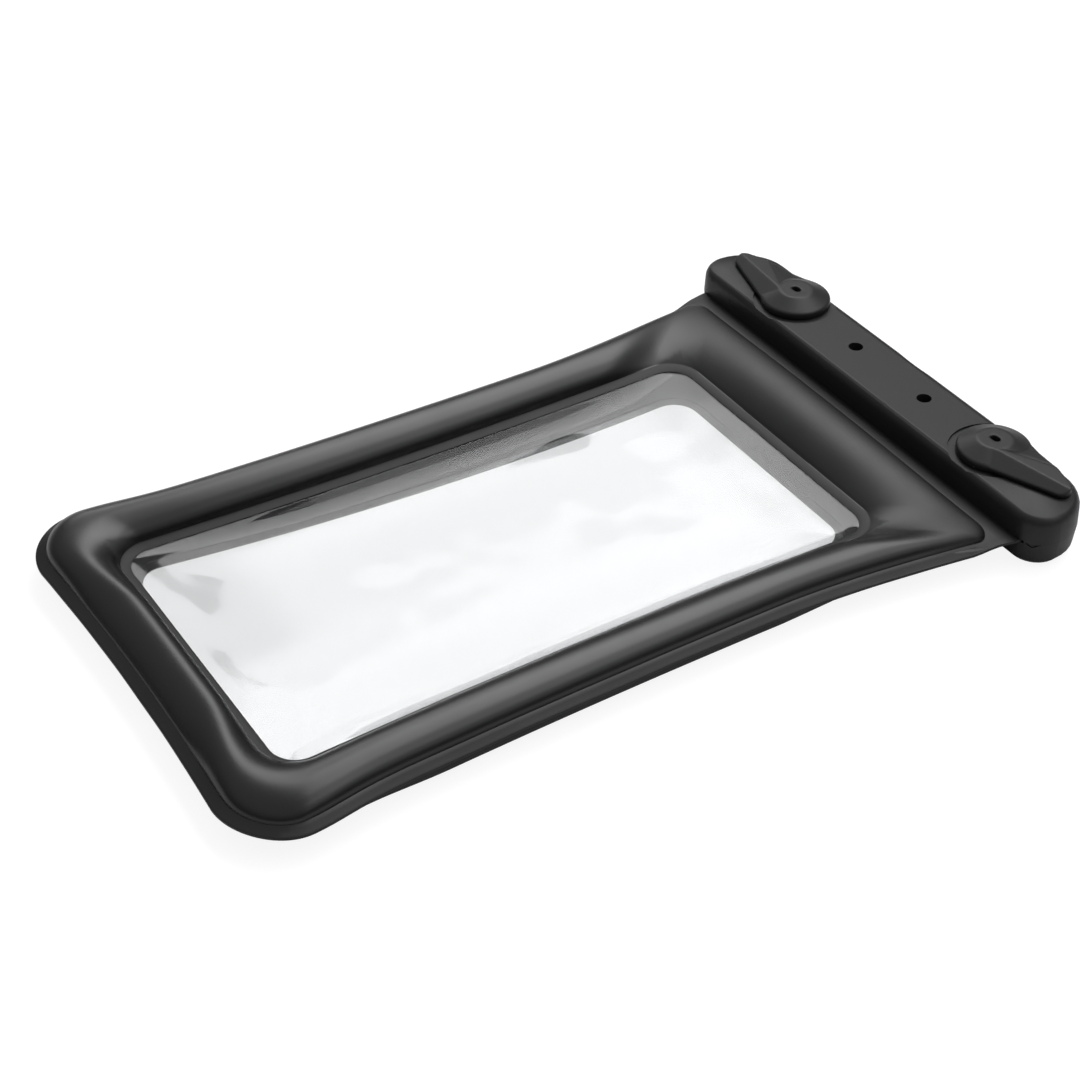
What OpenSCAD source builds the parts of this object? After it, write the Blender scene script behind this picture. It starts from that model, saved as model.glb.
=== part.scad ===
// Waterproof phone case: a soft pouch with clear windows, an air-filled rim
// and a two-bar clamp across the mouth, closed by two rotary latches.
// It lies on its back. +Y runs along the pouch to the clamp, +Z is the front.

/* [Pouch] */
// radius of the two bottom corners
corner_r = 16; // [8:0.5:24]
// how much the long sides bow in between the corners and the neck
side_bow = 1.2; // [0:0.1:3]
// how far the bottom corners swell past the side line
corner_swell = 1.9; // [0:0.1:4]
// how far each side flares out where it meets the clamp
neck_flare = 5.2; // [0:0.1:8]
// how far the bottom edge bows in between its corners
bottom_bow = 1.5; // [0:0.1:4]
// width of the flat edge weld outside the air rim
weld_w = 2.8; // [1.5:0.1:5]
// thickness of one film
film_t = 0.4; // [0.2:0.05:0.8]

/* [Windows] */
// width of the clear front window
window_w = 84; // [60:0.5:95]
// length of the clear front window
window_l = 164.9; // [130:0.1:185]
// corner radius of the windows
window_r = 7; // [3:0.5:12]
// how much narrower the back window is on each side
back_margin = 6.4; // [1:0.1:8]
// how much shorter the back window is at each end
back_end_gap = 3.2; // [0.5:0.1:5]
// width of the flat weld band round each window
band_w = 3.4; // [2:0.1:6]
// distance of the clear film's edge inside the edge of the weld band
lap_edge = 0.2; // [0.1:0.1:1]
// depth of the front window below the edge weld
front_drop = 1.5; // [0.8:0.1:3]
// depth of the back window below the edge weld
back_drop = 6.6; // [5:0.1:9]

/* [Air rim] */
// width of the air rim along each side, from the weld band to the edge weld
side_rim = 12.4; // [11:0.1:18]
// width of the air rim along the bottom
foot_rim = 13.2; // [11:0.1:20]
// width of the air rim at the neck
neck_rim = 18; // [13:0.1:26]
// height of the front rim above the edge weld
front_crest = 4.7; // [2.5:0.1:9]
// depth of the back rim below the edge weld
back_crest = 7.5; // [7.5:0.1:12]
// width of the flat neck strip between the rim and the clamp
neck_strip = 4.8; // [3:0.1:10]
// radius of the rim's corners at the neck
neck_r = 6; // [2:0.5:12]

/* [Clamp] */
// how far each end of the clamp stands out past the pouch, at least
ear = 4.8; // [4:0.1:12]
// depth of the clamp, front wall to back edge
bar_d = 22.2; // [21:0.1:30]
// thickness of the front bar
front_bar_t = 7.4; // [6.5:0.1:10]
// thickness of the rear bar
rear_bar_t = 7.5; // [6:0.1:9]
// plan radius of the corners beside the pouch
front_corner_r = 8; // [5:0.5:10]
// plan radius of the far corners
back_corner_r = 14; // [8:0.5:14]
// width of the rounded edge of the front bar
edge_round = 2; // [1:0.1:3]
// width of the rounded lower edge of the rear bar
rear_round = 4; // [1:0.1:5]
// width of the shallow scallop in the back edge
scallop_w = 22; // [10:0.5:30]
// depth of the scallop
scallop_deep = 1.8; // [0.5:0.1:3]
// how far the pouch mouth reaches into the clamp
mouth_in = 5; // [3:0.1:5.2]

/* [Latches] */
// distance of each lever's pivot from the end of the clamp
pivot_in = 31.1; // [24:0.1:36]
// distance of the pivots from the back edge of the clamp
pivot_back = 9.6; // [9.2:0.1:10]
// radius of the lever's round head
head_r = 9.7; // [9:0.1:10]
// height of the lever above the front bar
lever_h = 3.8; // [3:0.1:6]
// height of the head's upright side above the front bar
wall_h = 1.1; // [0.5:0.1:1.5]
// radius of the flat top of the head
flat_r = 4.4; // [3:0.1:6]
// distance from the pivot to the tip of the lever's tail
lever_reach = 25.5; // [20:0.1:30]
// radius of the tip of the tail
tip_r = 2.6; // [2:0.1:4.5]
// backward lean of the left lever as it lies when locked, in degrees
left_lean = -2.6; // [-5:0.1:10]
// backward lean of the right lever as it lies when locked, in degrees
right_lean = 5.2; // [-5:0.1:10]
// width of the shallow dish round each lever's head
dish_gap = 2.1; // [1:0.1:3]
// depth of the dish
dish_deep = 0.5; // [0.2:0.1:0.8]
// radius of the lever's hub in the front bar
hub_r = 5.5; // [5.2:0.1:6]
// running clearance of the hub, on the radius
hub_gap = 0.05; // [0.02:0.01:0.1]
// gap between the lever and the front bar
lift_gap = 0.15; // [0.1:0.05:0.4]
// radius of the latch post
post_r = 1.7; // [1.2:0.1:2]
// length of the cross-head on the post
cross_l = 7.6; // [6.5:0.1:7.8]
// width of the cross-head
cross_w = 3.4; // [2.4:0.1:3.6]
// clearance of the cross-head in the lever
cross_gap = 0.25; // [0.15:0.05:0.4]
// how far the retaining clip stands out past the hub
clip_rim = 1.4; // [1:0.1:1.6]

/* [Cord holes] */
// distance between the two cord holes
hole_span = 28.9; // [15:0.1:50]
// diameter of a cord hole
hole_d = 4; // [2:0.1:6]
// distance of the cord holes from the back edge of the clamp
hole_back = 9.8; // [8:0.1:11]

/* [Seals] */
// width of each rubber seal strip
seal_w = 2.6; // [1.5:0.1:2.8]
// depth of each seal strip in its bar
seal_t = 2; // [1:0.1:3]
// distance of the strips from the front wall of the clamp
seal_y = 2.2; // [1.5:0.1:2.4]

/* [Hidden] */
corner_n = 9;
long_n = 22;
short_n = 12;
dome_n = 11;
rim_hx = window_w / 2 + band_w + side_rim;
waist_hx = rim_hx + weld_w;
window_y = weld_w + foot_rim + band_w;
rim_end = window_y + window_l + band_w + neck_rim;
pouch_l = rim_end + neck_strip;
waist_y = 0.575 * pouch_l;
bow_span = 67;
film_lap = band_w - lap_edge;
end_y = pouch_l + mouth_in;
all_l = pouch_l + bar_d;
low = back_crest > rear_bar_t ? back_crest : rear_bar_t;
seat_top = front_bar_t - dish_deep;
clip_t = 0.7;
clip_z = 2.05;
clip_gap = 0.2;
clip_room = clip_z + clip_t + clip_gap;
groove_r = hub_r - 0.8;
ledge_lo = 1.2;
ledge_hi = 3.8;
cross_t = 1.8;
cross_z = ledge_hi + 0.1;
cross_room = cross_z + cross_t + 0.5;
foot_r = 4.4;
foot_t = 1.4;
shank_r = post_r + 0.5;
seat_r = head_r - 0.4;
dish_r = head_r + dish_gap;
clip_r = hub_r + clip_rim;
tooth_w = 3;
tooth_h = 1.1;
mouth_hx = side_x(waist_hx, end_y);
// the clamp is as long as a whole number of millimetres
bar_l = ceil(2 * (mouth_hx + ear));
pivot_x = bar_l / 2 - pivot_in;
pivot_y = bar_d - pivot_back;
hole_y = bar_d - hole_back;
tooth_x = mouth_hx + 0.4 + tooth_w / 2;
fine = 0.01;

black_film = [0.05, 0.05, 0.055];
black_shell = [0.11, 0.11, 0.115];
clear_film = [0.85, 0.88, 0.9, 0.35];
dark_rubber = [0.2, 0.2, 0.21];
steel = [0.62, 0.63, 0.65];

// Outline of the pouch

function clamp01(a) = a < 0 ? 0 : a > 1 ? 1 : a;
function ease(a) = let (c = clamp01(a)) c * c * (3 - 2 * c);

// half width at y of a line that is hx from the middle at the waist
function side_x(hx, y) =
    hx + side_bow * pow((y - waist_y) / bow_span, 2)
       + corner_swell * exp(-pow((y - corner_r) / 14, 2))
       + neck_flare * pow(clamp01((y - 0.85 * pouch_l) / (0.15 * pouch_l)), 1.6);

// points round a rounded rectangle, from the bottom middle, anticlockwise
function arc(cx, cy, r, a0) =
    [for (k = [0 : corner_n]) let (a = a0 + 90 * k / corner_n)
        [cx + r * cos(a), cy + r * sin(a)]];
function run(p, q, n) = [for (k = [1 : n - 1]) p + (q - p) * k / n];
function loop(hx, y0, y1, r0, r1) = concat(
    arc(hx - r0, y0 + r0, r0, -90),
    run([hx, y0 + r0], [hx, y1 - r1], long_n),
    arc(hx - r1, y1 - r1, r1, 0),
    run([hx - r1, y1], [r1 - hx, y1], short_n),
    arc(r1 - hx, y1 - r1, r1, 90),
    run([-hx, y1 - r1], [-hx, y0 + r0], long_n),
    arc(r0 - hx, y0 + r0, r0, 180),
    run([r0 - hx, y0], [hx - r0, y0], short_n));

// the soft outline: flared and waisted sides and a bowed bottom edge
function soften(p, hx) =
    let (g = side_x(hx, p[1]) / hx,
         b = bottom_bow * (1 - pow(clamp01(abs(p[0]) / (hx - corner_r)), 2)))
    [p[0] * g, p[1] + b * (1 - ease(p[1] / 30))];
function soft(pts, hx) = [for (p = pts) soften(p, hx)];

rim_outer = soft(loop(rim_hx, weld_w, rim_end, corner_r - weld_w, neck_r), rim_hx);
function band(hx, y0, y1, grow) =
    loop(hx + grow, y0 - grow, y1 + grow, window_r + grow, window_r + grow);

front_x = window_w / 2;
front_y1 = window_y + window_l;
back_x = front_x - back_margin;
back_y0 = window_y + back_end_gap;
back_y1 = front_y1 - back_end_gap;

all_n = len(rim_outer);
film_edge = soft(loop(waist_hx, 0, end_y, corner_r, 0.8), waist_hx);

// The front and back films: each is one sheet with a blown rim.

function mix3(a, b, t, z) = [a[0] + (b[0] - a[0]) * t, a[1] + (b[1] - a[1]) * t, z];
function level(pts, z) = [for (p = pts) [p[0], p[1], z]];

// bulge of the front rim: round over the sides, drawn out toward the neck
function swell(t, s) =
    let (b = 0.5 + 0.6 * s,
         top = pow(0.5 / (0.5 + b), 0.5) * pow(b / (0.5 + b), b))
    pow(t, 0.5) * pow(1 - t, b) / top;

// section of the back rim: full at its outer side, flat where it rests
function sag(t, z_in, z_out, deep) =
    let (c = 0.42)
    t < c ? -(deep - (deep + z_in) * pow((c - t) / c, 2))
          : z_out - (deep + z_out) * pow(1 - pow((t - c) / (1 - c), 2.3), 1 / 2.3);

module tube_ring(rows) {
    n = len(rows[0]);
    m = len(rows);
    polyhedron(
        points = [for (r = rows) for (p = r) p],
        faces = [for (i = [0 : m - 1]) for (j = [0 : n - 1])
            let (i2 = (i + 1) % m, j2 = (j + 1) % n)
            each [[i * n + j, i2 * n + j, i2 * n + j2],
                  [i * n + j, i2 * n + j2, i * n + j2]]],
        convexity = 6);
}

module in_place() { translate([0, -all_l / 2, low]) children(); }

module front_film() {
    z_in = film_t - front_drop;
    seam = band(front_x, window_y, front_y1, 0);
    crease = band(front_x, window_y, front_y1, band_w);
    lap = band(front_x, window_y, front_y1, film_lap);
    dome = [for (k = [1 : dome_n - 1]) let (t = (1 - cos(180 * k / dome_n)) / 2)
        [for (j = [0 : all_n - 1])
            let (s = ease((rim_outer[j][1] - 0.9 * rim_end) / (0.08 * rim_end)),
                 base = z_in + (film_t - z_in) * t)
            mix3(crease[j], rim_outer[j], t,
                 base + (front_crest - (z_in + film_t) / 2) * swell(t, s))]];
    color(black_film) in_place() tube_ring(concat(
        [level(seam, z_in), level(crease, z_in)],
        dome,
        [level(rim_outer, film_t), level(film_edge, film_t), level(film_edge, 0),
         level(rim_outer, 0), level(lap, -front_drop - film_t), level(lap, -front_drop),
         level(seam, -front_drop)]));
}

module back_film() {
    z_in = -back_drop - film_t;
    seam = band(back_x, back_y0, back_y1, 0);
    crease = band(back_x, back_y0, back_y1, band_w);
    lap = band(back_x, back_y0, back_y1, film_lap);
    dome = [for (k = [dome_n - 1 : -1 : 1]) let (t = (1 - cos(180 * k / dome_n)) / 2)
        [for (j = [0 : all_n - 1])
            mix3(crease[j], rim_outer[j], t, sag(t, z_in, -film_t, back_crest))]];
    color(black_film) in_place() tube_ring(concat(
        [level(seam, -back_drop), level(lap, -back_drop),
         level(lap, film_t - back_drop), level(rim_outer, 0),
         level(film_edge, 0), level(film_edge, -film_t), level(rim_outer, -film_t)],
        dome,
        [level(crease, z_in), level(seam, z_in)]));
}

module window_film(hx, y0, y1, z) {
    color(clear_film) in_place() translate([0, 0, z])
        linear_extrude(film_t) polygon(band(hx, y0, y1, film_lap));
}
module front_window() { window_film(front_x, window_y, front_y1, -front_drop - film_t); }
module back_window() { window_film(back_x, back_y0, back_y1, -back_drop); }

// The clamp

module at_clamp() { translate([0, pouch_l - all_l / 2, low]) children(); }

// plan of the bar, drawn in by inset all round
function bar_plan(inset) =
    let (fx = bar_l / 2 - front_corner_r, bx = bar_l / 2 - back_corner_r,
         by = bar_d - back_corner_r, fr = front_corner_r - inset,
         br = back_corner_r - inset)
    concat(arc(fx, front_corner_r, fr, -90), arc(bx, by, br, 0),
           arc(-bx, by, br, 90), arc(-fx, front_corner_r, fr, 180));

// the bar's rounded body: t high from the parting plane, edges drawn in by e
module bar_body(t, e) {
    hull() for (l = [[0, 0], [0.7, 0.12], [0.86, 0.35], [0.95, 0.65], [1, 1]])
        translate([0, 0, l[0] * t - (l[0] == 1 ? fine : 0)])
            linear_extrude(fine) polygon(bar_plan(l[1] * e));
}

module scallop() {
    r = (pow(scallop_w / 2, 2) + pow(scallop_deep, 2)) / (2 * scallop_deep);
    translate([0, bar_d + r - scallop_deep, -20]) cylinder(h = 40, r = r, $fn = 160);
}

module cord_holes() {
    for (s = [-1, 1])
        translate([s * hole_span / 2, hole_y, -20]) cylinder(h = 40, d = hole_d, $fn = 48);
}

module mouth_slot(z) {
    translate([-mouth_hx - 0.1, -1, z]) cube([2 * mouth_hx + 0.2, mouth_in + 1.2, film_t]);
}

// V-shaped teeth by which the front bar locates in the rear bar
module teeth(grow, out) {
    for (s = [-1, 1]) intersection() {
        translate([s * tooth_x, -1, 0]) rotate([-90, 0, 0])
            linear_extrude(7) polygon([[-tooth_w / 2 - grow, -grow], [tooth_w / 2 + grow, -grow],
                [tooth_w / 2 + grow, 0], [0, tooth_h + grow], [-tooth_w / 2 - grow, 0]]);
        translate([s * (bar_l / 2 - front_corner_r), front_corner_r, -5])
            cylinder(h = 10, r = front_corner_r + out, $fn = 96);
    }
}

module seal_groove(z) {
    translate([-mouth_hx + 2, seal_y, z]) cube([2 * mouth_hx - 4, seal_w, seal_t]);
}

module front_clamp_bar() {
    color(black_shell) at_clamp() difference() {
        union() {
            bar_body(front_bar_t, edge_round);
            for (s = [-1, 1]) translate([s * pivot_x, pivot_y, 1])
                cylinder(h = seat_top - 1, r = seat_r, $fn = 96);
            teeth(0, -0.35);
        }
        for (s = [-1, 1]) translate([s * pivot_x, pivot_y, 0]) {
            translate([0, 0, -1]) cylinder(h = 12, r = hub_r + hub_gap, $fn = 72);
            translate([0, 0, -1]) cylinder(h = clip_room + 1, r = clip_r + clip_gap, $fn = 72);
            translate([0, 0, seat_top]) cylinder(h = 5, r = dish_r, $fn = 96);
        }
        scallop();
        cord_holes();
        mouth_slot(0);
        seal_groove(film_t);
    }
}

module rear_clamp_bar() {
    color(black_shell) at_clamp() difference() {
        mirror([0, 0, 1]) bar_body(rear_bar_t, rear_round);
        for (s = [-1, 1]) translate([s * pivot_x, pivot_y, -rear_bar_t]) {
            translate([0, 0, -1]) cylinder(h = rear_bar_t + 2, r = shank_r, $fn = 48);
            translate([0, 0, -1]) cylinder(h = foot_t + 1, r = foot_r + 0.1, $fn = 64);
        }
        scallop();
        cord_holes();
        mouth_slot(-film_t);
        seal_groove(-film_t - seal_t);
        teeth(0.08, 1);
    }
}

module seal_strip(z) {
    color(dark_rubber) at_clamp() seal_groove(z);
}
module front_seal_strip() { seal_strip(film_t); }
module rear_seal_strip() { seal_strip(-film_t - seal_t); }

// The latches

// stands a latch piece at the left (-1) or right (+1) pivot, tail outward
module at_pivot(side, lean) {
    at_clamp() translate([side * pivot_x, pivot_y, 0])
        rotate([0, 0, side > 0 ? lean : 180 - lean]) children();
}

// the tail lies along +X of the pivot; f is the side of its front edge (+1 or -1)
module tail(f) {
    base = front_bar_t + lift_gap;
    top = front_bar_t + lever_h;
    edge_r = head_r - 0.3;
    tip = lever_reach - tip_r;
    a = asin((edge_r - tip_r) / tip);
    wall_z = front_bar_t + wall_h + 0.2;
    back_r = head_r - 0.8;
    b = asin((back_r - tip_r) / tip);
    intersection() {
        translate([0, 0, base]) linear_extrude(top - base)
            polygon(concat([[1, 0], [edge_r * sin(a), f * edge_r * cos(a)]],
                [for (k = [0 : 14]) let (w = 90 - a - (180 - a - b) * k / 14)
                    [tip + tip_r * cos(w), f * tip_r * sin(w)]],
                [[back_r * sin(b), -f * back_r * cos(b)]]));
        // section across the tail: front flank, crest, and the hollow behind it
        rotate([0, 0, -f * a]) rotate([90, 0, 90]) translate([0, 0, -12])
            linear_extrude(60) polygon([[f * edge_r, 0], [f * edge_r, wall_z],
                [f * flat_r, top], [f * (flat_r - 1), top - 0.05],
                [f * (flat_r - 4), top - 1.1], [-f * 3, top - 1.9],
                [-f * 14, top - 2.3], [-f * 14, 0]]);
        // the crest falls toward the tip
        rotate([90, 0, 0]) translate([0, 0, -30]) linear_extrude(60)
            polygon([[-1, 0], [-1, top], [flat_r, top], [tip + tip_r, top - 1.3],
                     [tip + tip_r + 5, top - 3], [tip + tip_r + 5, 0]]);
    }
}

module latch_lever(side, lean) {
    top = front_bar_t + lever_h;
    low_z = seat_top + lift_gap;
    wall_z = front_bar_t + wall_h;
    color(black_shell) at_pivot(side, lean) difference() {
        union() {
            rotate_extrude($fn = 120) polygon([[0, low_z], [head_r, low_z], [head_r, wall_z],
                [head_r - 0.25, wall_z + 0.45], [head_r - 0.9, wall_z + 0.75],
                [flat_r + 0.5, top - 0.12], [flat_r, top], [0, top]]);
            translate([0, 0, ledge_lo]) cylinder(h = low_z - ledge_lo + 1, r = hub_r, $fn = 72);
            tail(side > 0 ? -1 : 1);
        }
        // chamber for the cross-head and the slot it comes in by
        translate([0, 0, ledge_hi]) cylinder(h = cross_room - ledge_hi,
            r = norm([cross_l, cross_w]) / 2 + 0.15, $fn = 64);
        rotate([0, 0, 90]) translate([-(cross_l / 2 + cross_gap), -(cross_w / 2 + cross_gap), 0])
            cube([cross_l + 2 * cross_gap, cross_w + 2 * cross_gap, ledge_hi + 0.5]);
        // groove for the clip
        translate([0, 0, clip_z - 0.05]) difference() {
            cylinder(h = clip_t + 0.1, r = hub_r + 1, $fn = 72);
            translate([0, 0, -1]) cylinder(h = clip_t + 3, r = groove_r, $fn = 72);
        }
        // small slotted hole in the top
        translate([0, 0, cross_room - 1]) linear_extrude(12)
            polygon([for (k = [0 : 23]) let (w = 7.5 + 15 * k)
                [0.9 * cos(w) + (cos(w) > 0 ? 0.5 : -0.5), 0.9 * sin(w)]]);
    }
}
module left_latch_lever() { latch_lever(-1, left_lean); }
module right_latch_lever() { latch_lever(1, right_lean); }

module latch_post(side) {
    color(steel) at_clamp() translate([side * pivot_x, pivot_y, 0]) {
        translate([0, 0, -rear_bar_t]) cylinder(h = foot_t, r = foot_r, $fn = 64);
        translate([0, 0, foot_t - rear_bar_t]) cylinder(h = rear_bar_t - foot_t, r = shank_r, $fn = 48);
        cylinder(h = cross_z + 0.2, r = post_r, $fn = 48);
        translate([-cross_l / 2, -cross_w / 2, cross_z]) cube([cross_l, cross_w, cross_t]);
    }
}
module left_latch_post() { latch_post(-1); }
module right_latch_post() { latch_post(1); }

module lever_clip(side, lean) {
    color(steel) at_pivot(side, lean) translate([0, 0, clip_z]) difference() {
        cylinder(h = clip_t, r = clip_r, $fn = 72);
        translate([0, 0, -1]) cylinder(h = clip_t + 2, r = groove_r, $fn = 72);
        translate([0, -1.5, -1]) cube([clip_r + 1, 3, clip_t + 2]);
    }
}
module left_lever_clip() { lever_clip(-1, left_lean); }
module right_lever_clip() { lever_clip(1, right_lean); }

front_film();
back_film();
front_window();
back_window();
front_clamp_bar();
rear_clamp_bar();
front_seal_strip();
rear_seal_strip();
left_latch_lever();
right_latch_lever();
left_latch_post();
right_latch_post();
left_lever_clip();
right_lever_clip();
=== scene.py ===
"""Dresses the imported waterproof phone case.

The soft pieces, which are two films with their blown rims and two clear
windows, are made again here as fine surfaces, in the room that their solids
hold. The clamp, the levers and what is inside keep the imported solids' shapes,
with broken edges and their own finishes.
"""

import math

import bmesh
import bpy
from mathutils import Matrix, Vector, noise


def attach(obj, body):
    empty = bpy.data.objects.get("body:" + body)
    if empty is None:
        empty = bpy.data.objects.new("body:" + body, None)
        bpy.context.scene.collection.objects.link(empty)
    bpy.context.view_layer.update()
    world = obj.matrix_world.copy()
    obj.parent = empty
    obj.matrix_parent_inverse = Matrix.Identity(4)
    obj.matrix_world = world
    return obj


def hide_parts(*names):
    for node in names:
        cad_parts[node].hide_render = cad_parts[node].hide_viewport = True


bl_info = {
    "name": "Waterproof phone case",
    "version": (1, 0, 0),
    "blender": (4, 5, 0),
    "location": "View3D > Sidebar > Phone case",
    "description": "Finishes a clamped, air-rimmed phone pouch",
    "category": "Object",
}

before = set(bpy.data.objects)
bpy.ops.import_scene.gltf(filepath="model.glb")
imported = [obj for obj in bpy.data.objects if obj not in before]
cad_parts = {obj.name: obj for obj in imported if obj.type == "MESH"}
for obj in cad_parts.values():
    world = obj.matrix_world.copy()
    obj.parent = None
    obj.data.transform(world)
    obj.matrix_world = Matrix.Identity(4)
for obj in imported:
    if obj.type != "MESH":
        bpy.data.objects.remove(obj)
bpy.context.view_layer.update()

MM = 0.001
CASE_BODY = "case"
MOUTH_IN = 5.0
WINDOW_SHY = 0.5
EDGE_DROOP = 1.2
BOW_SPAN = 67
ARC = 22
LONG = 84
SHORT = 40


# The long softbox behind and above the case: name, ends along X and Y, brightness
STRIP = (
    ("softbox_far_left", (-5.0, -1.06), (0.42, 0.9), 3.0),
    ("softbox_left", (-1.06, 0.05), (0.25, 0.9), 4.2),
    ("softbox_right", (0.05, 0.8), (0.3, 0.9), 2.0),
    ("softbox_far_right", (0.8, 2.0), (0.44, 0.9), 0.8),
)
STRIP_Z = 1.0


# Sizes and colours that a user would change


def length(name, description, default):
    """A size of the case, in metres."""
    return bpy.props.FloatProperty(
        name=name, description=description, default=default, unit="LENGTH", precision=4
    )


def colour(name, description, default):
    """A finish's linear colour."""
    return bpy.props.FloatVectorProperty(
        name=name, description=description, default=default, subtype="COLOR", size=3, min=0, max=1
    )


class PouchSizes(bpy.types.PropertyGroup):
    """The soft pouch, measured as the solids are."""

    window_w: length("Window width", "Width of the front window at its narrowest", 0.0828)
    window_l: length("Window length", "Length of the front window", 0.1646)
    window_r: length("Window corner", "Corner radius of the windows", 0.007)
    window_bow: length("Window bow", "How much the front window's long sides bow in", 0.0011)
    band_w: length("Weld band", "Width of the weld round each window", 0.0026)
    back_side_gap: length("Back side gap", "How much narrower the back window is", 0.006)
    back_neck_gap: length("Back neck gap", "How much lower the back window ends", 0.0036)
    back_foot_gap: length("Back foot gap", "How much higher the back window starts", 0.0017)
    back_shift: length("Back shift", "How far the back window lies off the middle", 0.0016)
    back_bow: length("Back bow", "How much the back window's long sides bow in", 0.0034)
    front_drop: length("Front window drop", "Depth of the front window", 0.0015)
    back_drop: length("Back window drop", "Depth of the back window", 0.0066)
    side_rim: length("Side rim", "Width of the air rim along each side", 0.0131)
    foot_rim: length("Foot rim", "Width of the air rim along the bottom", 0.0139)
    neck_rim: length("Neck rim", "Width of the air rim at the neck", 0.0192)
    front_crest: length("Front rim", "Height of the front rim over the weld", 0.0047)
    back_crest: length("Back rim", "Depth of the back rim under the weld", 0.0075)
    back_bulge: length("Back bulge", "How far the back rim bulges out", 0.0026)
    weld_w: length("Edge weld", "Width of the flat weld outside the rim", 0.0028)
    film_t: length("Film", "Thickness of one film", 0.0004)
    corner_r: length("Corner radius", "Radius of the bottom corners", 0.016)
    neck_r: length("Neck radius", "Radius of the rim's corners at the neck", 0.005)
    neck_strip: length("Neck strip", "Width of the flat strip before the clamp", 0.0048)
    clamp_d: length("Clamp depth", "From the clamp's front wall to its back edge", 0.0222)


class Finishes(bpy.types.PropertyGroup):
    """Colours of the case."""

    film: colour("Black film", "Colour of the black film", (0.003, 0.003, 0.0033))
    shell: colour("Clamp plastic", "Colour of the moulded clamp", (0.013, 0.013, 0.0135))
    clear: colour("Clear film", "Tint of the clear windows", (0.82, 0.825, 0.83))
    rubber: colour("Seal rubber", "Colour of the seal strips", (0.03, 0.03, 0.031))
    steel: colour("Steel", "Colour of posts and clips", (0.42, 0.43, 0.45))
    floor: colour("Floor", "Colour of the table", (0.8, 0.8, 0.8))


def pouch():
    """The pouch's sizes in millimetres, with what follows from them."""
    group = bpy.context.scene.case_pouch
    s = {k: getattr(group, k) / MM for k in PouchSizes.__annotations__}
    s["rim_hx"] = s["window_w"] / 2 + s["band_w"] + s["side_rim"]
    s["edge_hx"] = s["rim_hx"] + s["weld_w"]
    s["window_y"] = s["weld_w"] + s["foot_rim"] + s["band_w"]
    s["rim_end"] = s["window_y"] + s["window_l"] + s["band_w"] + s["neck_rim"]
    s["pouch_l"] = s["rim_end"] + s["neck_strip"]
    s["end_y"] = s["pouch_l"] + MOUTH_IN
    s["waist_y"] = 0.65 * s["pouch_l"]
    s["shift_y"] = -(s["pouch_l"] + s["clamp_d"]) / 2
    return s


# The pouch's outline


def ease(a):
    """Smooth step from 0 to 1."""
    a = min(max(a, 0.0), 1.0)
    return a * a * (3 - 2 * a)


def side_x(s, hx, y):
    """Half width at y of a side line that is hx from the middle at the waist."""
    flare = min(max((y - 0.7 * s["pouch_l"]) / (0.3 * s["pouch_l"]), 0.0), 1.0)
    return (
        hx
        + ((y - s["waist_y"]) / BOW_SPAN) ** 2
        + 1.9 * math.exp(-(((y - s["corner_r"]) / 14) ** 2))
        + 6.4 * flare**1.6
    )


def arc(cx, cy, r, start):
    """Points of a quarter turn."""
    turn = [math.radians(start + 90 * k / ARC) for k in range(ARC + 1)]
    return [(cx + r * math.cos(a), cy + r * math.sin(a)) for a in turn]


def run(p, q, n):
    """Points between p and q, without them."""
    return [
        (p[0] + (q[0] - p[0]) * k / n, p[1] + (q[1] - p[1]) * k / n) for k in range(1, n)
    ]


def loop(hx, y0, y1, r0, r1):
    """A rounded rectangle, anticlockwise from its bottom right corner."""
    return (
        arc(hx - r0, y0 + r0, r0, -90)
        + run((hx, y0 + r0), (hx, y1 - r1), LONG)
        + arc(hx - r1, y1 - r1, r1, 0)
        + run((hx - r1, y1), (r1 - hx, y1), SHORT)
        + arc(r1 - hx, y1 - r1, r1, 90)
        + run((-hx, y1 - r1), (-hx, y0 + r0), LONG)
        + arc(r0 - hx, y0 + r0, r0, 180)
        + run((r0 - hx, y0), (hx - r0, y0), SHORT)
    )


def soft_loop(s, hx, y0, y1, r0, r1):
    """The same with the pouch's waist, swollen corners and bowed end."""
    out = []
    for x, y in loop(hx, y0, y1, r0, r1):
        bow = 1.5 * (1 - min(abs(x) / (hx - s["corner_r"]), 1.0) ** 2)
        out.append((x * side_x(s, hx, y) / hx, y + bow * (1 - ease(y / 30))))
    return out


def window(s, front):
    """A window's half width, ends, bow, the bow's middle and its shift."""
    hx, y0 = s["window_w"] / 2, s["window_y"]
    y1 = y0 + s["window_l"]
    if front:
        return hx, y0, y1, s["window_bow"], 0.55 * s["pouch_l"], 0
    y0, y1 = y0 + s["back_foot_gap"], y1 - s["back_neck_gap"]
    return hx - s["back_side_gap"], y0, y1, s["back_bow"], s["waist_y"], s["back_shift"]


def bowed(s, x, y, bow, mid_y, shift):
    """A point of a window whose long sides bow in toward mid_y."""
    return x + shift + bow * ((y - mid_y) / BOW_SPAN) ** 2 * x / (s["window_w"] / 2), y


def window_line(s, front, grow):
    """A line round a window, grown outward."""
    hx, y0, y1, *bow = window(s, front)
    r = s["window_r"] + grow
    return [bowed(s, x, y, *bow) for x, y in loop(hx + grow, y0 - grow, y1 + grow, r, r)]


def outer_lines(s):
    """The rim's outer line and the pouch's edge."""
    inner_r = s["corner_r"] - s["weld_w"]
    rim = soft_loop(s, s["rim_hx"], s["weld_w"], s["rim_end"], inner_r, s["neck_r"])
    return rim, soft_loop(s, s["edge_hx"], 0, s["end_y"], s["corner_r"], 0.8)


def ripple(x, y, size, seed):
    """Slow random wave from -1 to 1."""
    return noise.noise(Vector((x / size + seed, y / size - seed, 0.37 * seed)))


# Pieces


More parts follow.
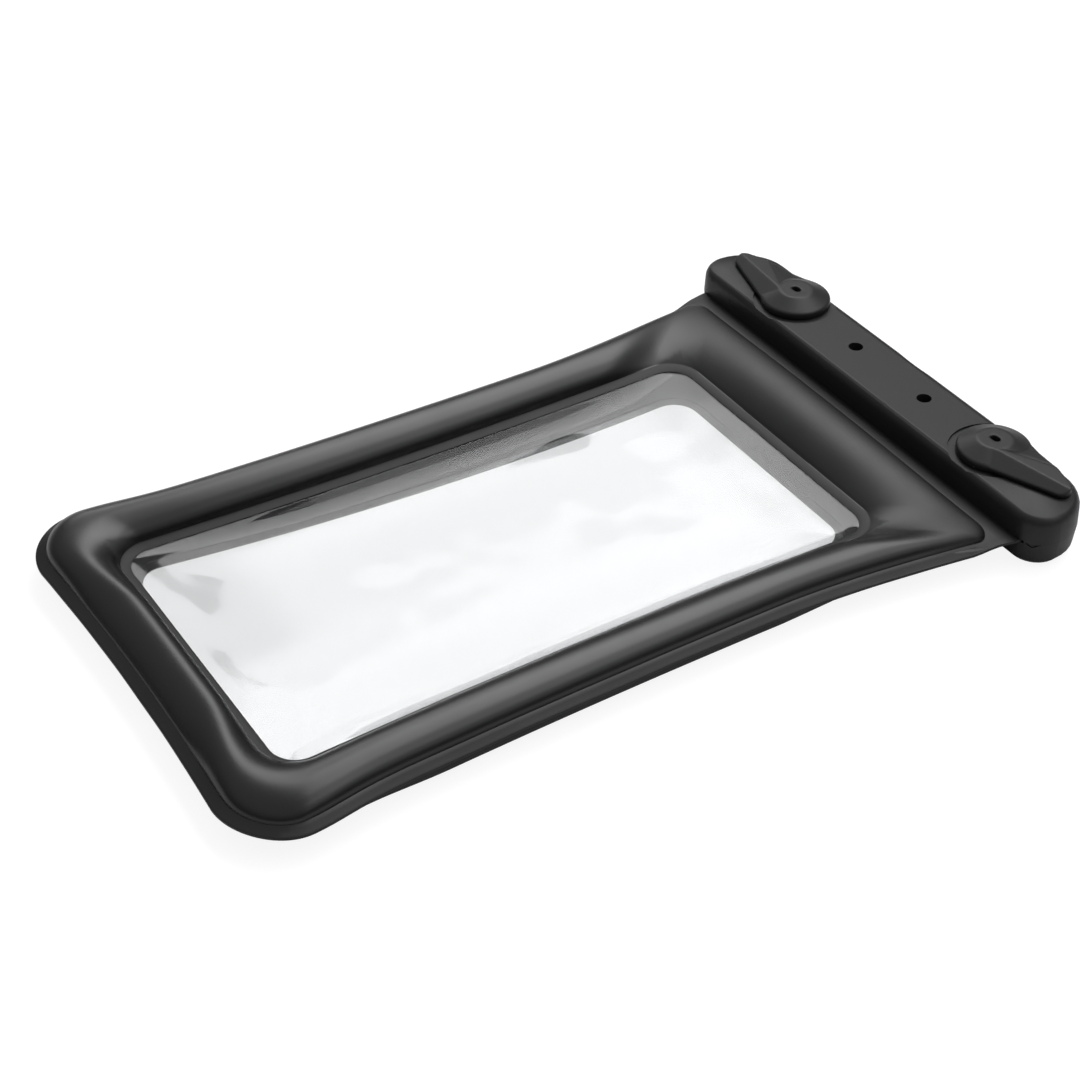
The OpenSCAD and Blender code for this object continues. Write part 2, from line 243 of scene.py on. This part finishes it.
def finish_piece(bm, name, body, material, hard=40.0):
    """Turns a bmesh into a riding piece with smooth faces and hard creases."""
    bm.normal_update()
    for face in bm.faces:
        face.smooth = True
    for edge in bm.edges:
        edge.smooth = not (edge.is_manifold and edge.calc_face_angle(0) > math.radians(hard))
    mesh = bpy.data.meshes.new(name)
    bm.to_mesh(mesh)
    bm.free()
    mesh.materials.append(material)
    obj = bpy.data.objects.new(name, mesh)
    bpy.context.scene.collection.objects.link(obj)
    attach(obj, body)
    return obj


def ring_skin(rows):
    """A closed ring of film from rows of points, joined both ways round."""
    bm = bmesh.new()
    m, n = len(rows), len(rows[0])
    bmesh.ops.create_grid(bm, x_segments=n, y_segments=m, size=1)
    for v in bm.verts:
        j = round((v.co.x + 1) / 2 * n) % n
        i = round((v.co.y + 1) / 2 * m) % m
        v.co = rows[i][j]
    bmesh.ops.remove_doubles(bm, verts=bm.verts, dist=1e-7)
    bmesh.ops.recalc_face_normals(bm, faces=bm.faces)
    return bm


def place(s, x, y, z):
    """A point of the pouch, in metres, in the part's frame."""
    return Vector((x, y + s["shift_y"], z + 7.5)) * MM


def level(s, line, z, wave=0.0):
    """A row at height z, with a slow wave."""
    return [place(s, x, y, z + wave * ripple(x, y, 17, 3.1)) for x, y in line]


def droop(s, line, z, part, wave=0.25):
    """A row of the edge that droops, but for where it enters the clamp."""
    out = []
    for x, y in line:
        free = 1 - ease((y - s["rim_end"] + 8) / 8)
        dip = wave * ripple(x, y, 17, 3.1) - part * EDGE_DROOP
        out.append(place(s, x, y, z + free * dip))
    return out


def steps(n):
    """Fractions from 0 to 1, closer at both ends."""
    return [(1 - math.cos(math.pi * k / n)) / 2 for k in range(1, n)]


def in_neck(s, y):
    """How far a point of the rim lies in the neck, from 0 to 1."""
    return ease((y / s["rim_end"] - 0.88) / 0.1)


def in_foot(s, x, y):
    """How far a point of the rim lies in the run along the bottom, from 0 to 1."""
    return ease((24 - y) / 16) * ease((s["rim_hx"] - 12 - abs(x)) / 22)


def swell(t, a, b):
    """Section of the front rim from the window out: its crest is nearer the lesser's side."""
    top = (a / (a + b)) ** a * (b / (a + b)) ** b
    return t**a * (1 - t) ** b / top


def front_rows(s):
    """Section rows of the front film: band, blown rim, edge weld, underside."""
    ft = s["film_t"]
    z_in = ft - s["front_drop"]
    seam, crease = window_line(s, True, 0), window_line(s, True, s["band_w"])
    lap = window_line(s, True, s["band_w"] - 0.3)
    outer, edge = outer_lines(s)
    rows = [
        level(s, seam, z_in - 0.36),
        level(s, window_line(s, True, 0.2), z_in - 0.28),
        level(s, window_line(s, True, s["band_w"] - 0.45), z_in + 0.55, 0.05),
        level(s, window_line(s, True, s["band_w"] - 0.12), z_in + 0.5),
    ]
    z_in += 0.5
    for t in steps(26):
        row = []
        for (cx, cy), (ox, oy) in zip(crease, outer):
            neck, foot = in_neck(s, oy), in_foot(s, ox, oy)
            form = swell(t, 0.5 - 0.18 * foot + 0.3 * neck, 0.5 + 0.25 * foot)
            far = neck * ease((math.hypot(ox - cx, oy - cy) - 18) / 12)
            crest = (s["front_crest"] + 0.2) * (1 + 0.025 * ripple(ox, oy, 40, 1.3) - 0.3 * far)
            x, y = cx + (ox - cx) * t, cy + (oy - cy) * t
            row.append(place(s, x, y, z_in + (ft - z_in) * t + crest * form))
        rows.append(row)
    rows += [
        level(s, outer, ft - 0.05, 0.1),
        droop(s, mid_line(outer, edge, 0.35), ft, 0.4, 0.12),
        droop(s, mid_line(outer, edge, 0.8), ft, 0.9),
        droop(s, mid_line(outer, edge, 0.96), ft, 1),
        droop(s, edge, ft - 0.15, 1),
        droop(s, edge, 0, 1),
        level(s, outer, 0),
        level(s, lap, -s["front_drop"] - ft),
        level(s, lap, -s["front_drop"] + 0.02),
        level(s, seam, -s["front_drop"] + 0.02),
    ]
    return rows


def mid_line(a, b, t):
    """Points between two lines."""
    return [(p[0] + (q[0] - p[0]) * t, p[1] + (q[1] - p[1]) * t) for p, q in zip(a, b)]


def sag(s, t, z_in):
    """Height of the back rim: flat where it rests, full at its outer side."""
    deep, flat_to = s["back_crest"], 0.42
    if t < flat_to:
        return (deep + z_in) * (1 - t / flat_to) ** 2 - deep
    u = (t - flat_to) / (1 - flat_to)
    return -s["film_t"] - (deep - s["film_t"]) * (1 - u**2.3) ** (1 / 2.3)


def back_rows(s):
    """Section rows of the back film, whose rim rests on the table."""
    ft = s["film_t"]
    z_in = -s["back_drop"] - ft
    seam, crease = window_line(s, False, 0), window_line(s, False, s["band_w"])
    lap = window_line(s, False, s["band_w"] - 0.3)
    outer, edge = outer_lines(s)
    rows = [
        level(s, seam, -s["back_drop"] - 0.02),
        level(s, lap, -s["back_drop"] - 0.02),
        level(s, lap, ft - s["back_drop"]),
    ]
    for t in (0.2, 0.4, 0.6, 0.8):
        lift = (s["back_drop"] - ft) * t + 0.9 * math.sin(math.pi * t)
        rows.append(level(s, mid_line(lap, outer, t), ft - s["back_drop"] + lift))
    rows += [
        level(s, outer, 0),
        droop(s, edge, 0, 1),
        droop(s, edge, 0.15 - ft, 1),
        droop(s, mid_line(outer, edge, 0.85), -ft, 0.9),
        level(s, outer, -ft),
    ]
    for t in reversed(steps(24)):
        z = sag(s, t, z_in)
        row = []
        for (x, y), (ox, oy) in zip(mid_line(crease, outer, t), outer):
            sides = ease((oy - 12) / 40) * ease((0.85 * s["pouch_l"] - oy) / 35)
            round_out = math.sin(math.pi * (z + s["back_crest"]) / (s["back_crest"] - ft))
            out = s["back_bulge"] * sides * round_out if t >= 0.42 else 0
            row.append(place(s, x + out * ox / s["rim_hx"], y, z))
        rows.append(row)
    rows += [level(s, crease, z_in), level(s, seam, z_in)]
    return rows


def window_sheet(s, front, drop):
    """A clear film that reaches under the weld band, at the height drop(x, y)."""
    hx, y0, y1, *bow = window(s, front)
    grow = s["band_w"] - WINDOW_SHY
    r = s["window_r"] + grow
    hx, hy, cy = hx + grow, (y1 - y0) / 2 + grow, (y0 + y1) / 2
    bm = bmesh.new()
    bmesh.ops.create_grid(bm, x_segments=110, y_segments=210, size=1)
    for v in bm.verts:
        x, y = v.co.x * hx, v.co.y * hy
        u, w = (abs(x) - hx + r) / r, (abs(y) - hy + r) / r
        if u > 0 and w > 0:
            x = math.copysign(hx - r + r * u * math.sqrt(1 - w * w / 2), x)
            y = math.copysign(hy - r + r * w * math.sqrt(1 - u * u / 2), y)
        v.co = place(s, *bowed(s, x, y + cy, *bow), drop(x, y + cy))
    return bm


def inside(s, front, x, y):
    """How far a point lies inside a window, in millimetres."""
    hx, y0, y1, *_ = window(s, front)
    return min(hx - abs(x), y - y0, y1 - y)


def cut_size(line):
    """Width, length and area of the flat sheet inside a line, in metres."""
    pairs = zip(line, line[1:] + line[:1])
    area = abs(sum(p[0] * q[1] - q[0] * p[1] for p, q in pairs)) / 2
    width = 2 * max(abs(x) for x, y in line)
    tall = max(y for x, y in line) - min(y for x, y in line)
    return (width * MM, tall * MM), area * MM * MM


# Shaders


class Wire:
    """A value socket that takes part in arithmetic."""

    def __init__(self, tree, socket):
        self.tree, self.socket = tree, socket

    def _math(self, operation, a, b):
        node = self.tree.nodes.new("ShaderNodeMath")
        node.operation = operation
        for socket, value in zip(node.inputs, (a, b)):
            if isinstance(value, Wire):
                self.tree.links.new(value.socket, socket)
            else:
                socket.default_value = value
        return Wire(self.tree, node.outputs[0])

    def __add__(self, other):
        return self._math("ADD", self, other)

    __radd__ = __add__

    def __mul__(self, other):
        return self._math("MULTIPLY", self, other)

    __rmul__ = __mul__

    def __sub__(self, other):
        return self._math("SUBTRACT", self, other)

    def __rsub__(self, other):
        return self._math("SUBTRACT", other, self)

    def __pow__(self, other):
        return self._math("POWER", self, other)


class Finish:
    """A material under construction."""

    def __init__(self, name):
        self.material = bpy.data.materials.new(name)
        self.material.use_nodes = True
        self.tree = self.material.node_tree
        self.tree.nodes.clear()

    def add(self, kind, settings=None, sockets=None, out=0):
        """Adds a node with its settings, feeds its sockets and gives an output."""
        node = self.tree.nodes.new(kind)
        for key, value in (settings or {}).items():
            if key == "stops":
                ramp = node.color_ramp
                ramp.elements[0].position, ramp.elements[0].color = value[0]
                ramp.elements[1].position, ramp.elements[1].color = value[-1]
                for position, shade in value[1:-1]:
                    ramp.elements.new(position).color = shade
            else:
                setattr(node, key, value)
        for key, value in (sockets or {}).items():
            if isinstance(value, Wire):
                self.tree.links.new(value.socket, node.inputs[key])
            else:
                node.inputs[key].default_value = value
        return Wire(self.tree, node.outputs[out]) if node.outputs else node

    def surface(self, shader):
        """Ends the material in a shader."""
        self.add("ShaderNodeOutputMaterial", sockets={"Surface": shader})
        return self.material

    def place(self, scale=(1, 1, 1)):
        """Object coordinates, in metres times scale."""
        at = self.add("ShaderNodeTexCoord", out=3)
        return self.add("ShaderNodeMapping", sockets={"Vector": at, "Scale": scale})

    def grain(self, size, detail=2.0, at=None, rough=0.5):
        """Noise of about that size in millimetres, from 0 to 1."""
        return self.add(
            "ShaderNodeTexNoise",
            sockets={
                "Vector": at or self.place(),
                "Scale": 1 / (size * MM),
                "Detail": detail,
                "Roughness": rough,
            },
        )

    def bump(self, height, depth, strength=1.0, under=None):
        """A bump of that depth in millimetres."""
        sockets = {"Height": height, "Distance": depth * MM, "Strength": strength}
        if under:
            sockets["Normal"] = under
        return self.add("ShaderNodeBump", sockets=sockets)


def rgba(c):
    """A colour with full alpha."""
    return (c[0], c[1], c[2], 1.0)


def black_film():
    """Soft satin film, a little duller where it is welded."""
    look = bpy.context.scene.case_finishes
    f = Finish("black_soft_film")
    slow, fine = f.grain(9, 3), f.grain(0.35, 2)
    dull = f.add("ShaderNodeAttribute", {"attribute_name": "weld"}, out=2)
    tone = f.add(
        "ShaderNodeMix",
        {"data_type": "RGBA"},
        {6: rgba(look.film), 7: rgba([1.6 * c for c in look.film]), 0: slow},
        out=2,
    )
    normal = f.bump(fine, 0.004, 0.5, f.bump(slow, 0.05, 0.6))
    return f.surface(
        f.add(
            "ShaderNodeBsdfPrincipled",
            sockets={
                "Base Color": tone,
                "Roughness": 0.24 + slow * 0.08 + fine * 0.04 + dull * 0.28,
                "Normal": normal,
                "IOR": 1.5,
            },
        )
    )


def clear_film(name, haze):
    """Clear soft film with faint streaks and haze."""
    look = bpy.context.scene.case_finishes
    f = Finish(name)
    slow = f.grain(14, 3, f.place((1, 0.35, 1)))
    return f.surface(
        f.add(
            "ShaderNodeBsdfPrincipled",
            sockets={
                "Base Color": rgba(look.clear),
                "Roughness": haze + slow * 0.03,
                "Transmission Weight": 1.0,
                "IOR": 1.32,
                "Normal": f.bump(slow, 0.03, 0.5),
            },
        )
    )


def moulded(name, base, rough, grain_mm):
    """Matt moulded plastic with a spark-eroded grain."""
    f = Finish(name)
    slow, fine = f.grain(11, 3), f.grain(grain_mm, 3, rough=0.6)
    tone = f.add(
        "ShaderNodeMix",
        {"data_type": "RGBA"},
        {6: rgba([0.85 * c for c in base]), 7: rgba([1.3 * c for c in base]), 0: slow},
        out=2,
    )
    return f.surface(
        f.add(
            "ShaderNodeBsdfPrincipled",
            sockets={
                "Base Color": tone,
                "Roughness": rough + slow * 0.08 - fine * 0.06,
                "Normal": f.bump(fine, 0.012, 0.7),
                "IOR": 1.5,
                "Specular IOR Level": 0.3,
            },
        )
    )


def plain_finish(name, base, rough, metallic, grain_mm):
    """Rubber or steel of the inner pieces."""
    f = Finish(name)
    fine = f.grain(grain_mm, 3)
    return f.surface(
        f.add(
            "ShaderNodeBsdfPrincipled",
            sockets={
                "Base Color": rgba(base),
                "Roughness": rough + fine * 0.12,
                "Metallic": metallic,
                "Normal": f.bump(fine, 0.01, 0.5),
            },
        )
    )


# Operators


class CASE_OT_films(bpy.types.Operator):
    """Makes the front and back films with their blown rims"""

    bl_idname = "case.films"
    bl_label = "Films and air rims"

    def execute(self, context):
        s = pouch()
        material = black_film()
        for name, rows, welds in (
            ("front_film", front_rows(s), (0, 4, 27, 33)),
            ("back_film", back_rows(s), (0, 3, 7, 12)),
        ):
            bm = ring_skin(rows)
            obj = finish_piece(bm, name + "_skin", CASE_BODY, material)
            self.mark_welds(obj, s)
            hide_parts(name)
        return {"FINISHED"}

    def mark_welds(self, obj, s):
        """Stores 1 on welded film, less at the neck and 0 on the sides."""
        mark = obj.data.attributes.new("weld", "FLOAT", "POINT")
        band = s["band_w"] - 0.2
        values = []
        for v in obj.data.vertices:
            x, y = v.co.x / MM, v.co.y / MM - s["shift_y"]
            bow = s["window_bow"] * ((y - 0.55 * s["pouch_l"]) / BOW_SPAN) ** 2
            d = -inside(s, True, abs(x) - bow, y)
            hx = side_x(s, s["rim_hx"], y)
            welded = d < band or abs(x) > hx + 0.2 or y > s["rim_end"] + 0.3
            values.append(1.0 if welded else 0.65 * in_neck(s, y))
        mark.data.foreach_set("value", values)


class CASE_OT_windows(bpy.types.Operator):
    """Makes the two clear windows"""

    bl_idname = "case.windows"
    bl_label = "Clear windows"

    def execute(self, context):
        s = pouch()

        def front_drop(x, y):
            d = max(inside(s, True, x, y), 0.0)
            mid = ease((y - s["window_y"]) / 50) * ease((s["window_y"] + s["window_l"] - y) / 40)
            dip = (0.25 + 2.6 * mid) * (1 - math.exp(-d / 2.6)) - 1.3 * mid * ease(d / 20)
            wave = 0.3 * ripple(x, y * 0.45, 26, 5.2) + 0.07 * ripple(x, y, 11, 8.4)
            return -s["front_drop"] - s["film_t"] / 2 - dip + ease(d / 9) * wave

        def back_drop(x, y):
            d = max(inside(s, False, x, y), 0.0)
            wave = 0.18 * ripple(x, y * 0.6, 24, 2.7)
            return s["film_t"] / 2 - s["back_drop"] + ease(d / 9) * (wave - 0.1)

        for name, front, drop, haze in (
            ("front_window", True, front_drop, 0.03),
            ("back_window", False, back_drop, 0.05),
        ):
            bm = window_sheet(s, front, drop)
            obj = finish_piece(
                bm, name + "_sheet", CASE_BODY, clear_film(name + "_film", haze)
            )
            wall = obj.modifiers.new("wall", "SOLIDIFY")
            wall.thickness, wall.offset = (s["film_t"] - 0.06) * MM, 0.0
            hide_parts(name)
            flat, area = cut_size(window_line(s, front, s["band_w"] - WINDOW_SHY))
        return {"FINISHED"}


def dress(node, material, body, soften=0.25, melt=0):
    """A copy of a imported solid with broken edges, in its own finish.

    With melt, its edges are rounded that many steps as on a soft moulding.
    """
    source = bpy.data.objects[node]
    bm = bmesh.new()
    bm.from_mesh(source.data)
    bmesh.ops.remove_doubles(bm, verts=bm.verts, dist=2e-6)
    bmesh.ops.dissolve_limit(bm, angle_limit=math.radians(0.6), verts=bm.verts, edges=bm.edges)
    obj = finish_piece(bm, node + "_body", body, material, hard=180 if melt else 28)
    if melt:
        remesh = obj.modifiers.new("moulding", "REMESH")
        remesh.mode, remesh.voxel_size, remesh.use_smooth_shade = "VOXEL", soften * MM, True
        smooth = obj.modifiers.new("edges", "SMOOTH")
        smooth.factor, smooth.iterations = 0.5, melt
    else:
        edge = obj.modifiers.new("edges", "BEVEL")
        edge.width, edge.segments = soften * MM, 3
        edge.limit_method, edge.angle_limit = "ANGLE", math.radians(28)
        edge.harden_normals = False
        edge.use_clamp_overlap = True
    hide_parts(node)
    return obj


class CASE_OT_clamp(bpy.types.Operator):
    """Finishes the two bars of the clamp"""

    bl_idname = "case.clamp"
    bl_label = "Clamp bars"

    def execute(self, context):
        shell = tuple(context.scene.case_finishes.shell)
        material = moulded("clamp_plastic", shell, 0.42, 0.22)
        for node in ("front_clamp_bar", "rear_clamp_bar"):
            dress(node, material, CASE_BODY)
        return {"FINISHED"}


class CASE_OT_latches(bpy.types.Operator):
    """Finishes the levers"""

    bl_idname = "case.latches"
    bl_label = "Latch levers"

    def execute(self, context):
        shell = tuple(context.scene.case_finishes.shell)
        material = moulded("lever_plastic", [1.05 * c for c in shell], 0.4, 0.2)
        for side in ("left", "right"):
            dress(side + "_latch_lever", material, side + "_lever", 0.2, 14)
        return {"FINISHED"}


class CASE_OT_inside(bpy.types.Operator):
    """Finishes the posts, clips and seal strips"""

    bl_idname = "case.inside"
    bl_label = "Posts, clips and seals"

    def execute(self, context):
        look = context.scene.case_finishes
        steel = plain_finish("plain_steel", tuple(look.steel), 0.3, 1.0, 0.3)
        rubber = plain_finish("seal_rubber", tuple(look.rubber), 0.7, 0.0, 0.5)
        kinds = {
            steel: ("left_latch_post", "right_latch_post", "left_lever_clip", "right_lever_clip"),
            rubber: ("front_seal_strip", "rear_seal_strip"),
        }
        for material, nodes in kinds.items():
            for node in nodes:
                slots = bpy.data.objects[node].data.materials
                slots.clear()
                slots.append(material)
        return {"FINISHED"}


class CASE_OT_stage(bpy.types.Operator):
    """Makes the table, the lights and the camera"""

    bl_idname = "case.stage"
    bl_label = "Table, lights and camera"

    def execute(self, context):
        self.table(context)
        self.lights(context)
        self.camera(context)
        context.scene.view_settings.view_transform = "Standard"
        return {"FINISHED"}

    def table(self, context):
        """A wide white table that keeps a faint shadow."""
        bm = bmesh.new()
        bmesh.ops.create_grid(bm, x_segments=8, y_segments=8, size=6)
        mesh = bpy.data.meshes.new("table")
        bm.to_mesh(mesh)
        bm.free()
        obj = bpy.data.objects.new("table", mesh)
        context.scene.collection.objects.link(obj)
        f = Finish("table_white")
        seen = f.add("ShaderNodeLightPath", out=0)
        through = f.add("ShaderNodeLightPath", out=6)
        diffuse = f.add(
            "ShaderNodeBsdfDiffuse", sockets={"Color": rgba(context.scene.case_finishes.floor)}
        )
        faint = f.add("ShaderNodeBsdfDiffuse", sockets={"Color": (0.22, 0.22, 0.22, 1)})
        glow = f.add("ShaderNodeEmission", sockets={"Color": (1, 1, 1, 1), "Strength": 0.88})
        white = f.add("ShaderNodeAddShader", sockets={0: faint, 1: glow})
        clip = f.add("ShaderNodeMath", {"operation": "MAXIMUM"}, {0: seen, 1: through})
        mix = f.add("ShaderNodeMixShader", sockets={0: clip, 1: diffuse, 2: white})
        mesh.materials.append(f.surface(mix))
        obj.location = (0, 0, -0.00005)

    def lights(self, context):
        """A long softbox behind and above, and an even room."""
        world = bpy.data.worlds.new("studio")
        world.use_nodes = True
        tree = world.node_tree
        tree.nodes.clear()
        back = tree.nodes.new("ShaderNodeBackground")
        at = tree.nodes.new("ShaderNodeTexCoord")
        split = tree.nodes.new("ShaderNodeSeparateXYZ")
        ramp = tree.nodes.new("ShaderNodeValToRGB")
        low, high = ramp.color_ramp.elements
        low.position, low.color = 0.15, (0.1, 0.1, 0.1, 1)
        high.position, high.color = 0.75, (0.5, 0.5, 0.5, 1)
        tree.links.new(at.outputs["Generated"], split.inputs[0])
        tree.links.new(split.outputs["Z"], ramp.inputs[0])
        tree.links.new(ramp.outputs[0], back.inputs["Color"])
        seen = tree.nodes.new("ShaderNodeBackground")
        seen.inputs["Color"].default_value = (1, 1, 1, 1)
        path = tree.nodes.new("ShaderNodeLightPath")
        mix = tree.nodes.new("ShaderNodeMixShader")
        out = tree.nodes.new("ShaderNodeOutputWorld")
        tree.links.new(path.outputs["Is Camera Ray"], mix.inputs[0])
        tree.links.new(back.outputs[0], mix.inputs[1])
        tree.links.new(seen.outputs[0], mix.inputs[2])
        tree.links.new(mix.outputs[0], out.inputs[0])
        context.scene.world = world
        for name, (x0, x1), (y0, y1), radiance in STRIP:
            lamp = bpy.data.lights.new(name, "AREA")
            lamp.shape = "RECTANGLE"
            lamp.size, lamp.size_y = x1 - x0, y1 - y0
            lamp.energy = radiance * math.pi * lamp.size * lamp.size_y
            obj = bpy.data.objects.new(name, lamp)
            obj.location = ((x0 + x1) / 2, (y0 + y1) / 2, STRIP_Z)
            context.scene.collection.objects.link(obj)

    def camera(self, context):
        """The photograph's place and lens, fitted to the case's own edges."""
        lens = bpy.data.cameras.new("camera")
        lens.sensor_width, lens.lens = 36.0, 76.667
        lens.clip_start, lens.clip_end = 0.01, 20
        obj = bpy.data.objects.new("camera", lens)
        right = Vector((0.529738, 0.848117, 0.00866))
        up = Vector((-0.52548, 0.320168, 0.788266))
        back = Vector((0.665769, -0.422126, 0.615274))
        turn = Matrix((right, up, back)).transposed().to_4x4()
        obj.matrix_world = Matrix.Translation((0.383369, -0.246483, 0.356905)) @ turn
        context.scene.collection.objects.link(obj)
        context.scene.camera = obj


class CASE_PT_panel(bpy.types.Panel):
    """Lists the pieces of the case"""

    bl_label = "Phone case"
    bl_idname = "CASE_PT_panel"
    bl_space_type = "VIEW_3D"
    bl_region_type = "UI"
    bl_category = "Phone case"

    def draw(self, context):
        for group in (context.scene.case_pouch, context.scene.case_finishes):
            box = self.layout.box()
            for key in type(group).__annotations__:
                box.prop(group, key)
        for operator in STEPS:
            self.layout.operator(operator.bl_idname)


STEPS = (
    CASE_OT_films,
    CASE_OT_windows,
    CASE_OT_clamp,
    CASE_OT_latches,
    CASE_OT_inside,
    CASE_OT_stage,
)
CLASSES = (PouchSizes, Finishes, *STEPS, CASE_PT_panel)


def register():
    for cls in CLASSES:
        bpy.utils.register_class(cls)
    bpy.types.Scene.case_pouch = bpy.props.PointerProperty(type=PouchSizes)
    bpy.types.Scene.case_finishes = bpy.props.PointerProperty(type=Finishes)


def unregister():
    del bpy.types.Scene.case_finishes
    del bpy.types.Scene.case_pouch
    for cls in reversed(CLASSES):
        bpy.utils.unregister_class(cls)


def main():
    register()
    for operator in STEPS:
        area, name = operator.bl_idname.split(".")
        getattr(getattr(bpy.ops, area), name)()


if __name__ == "__main__":
    main()
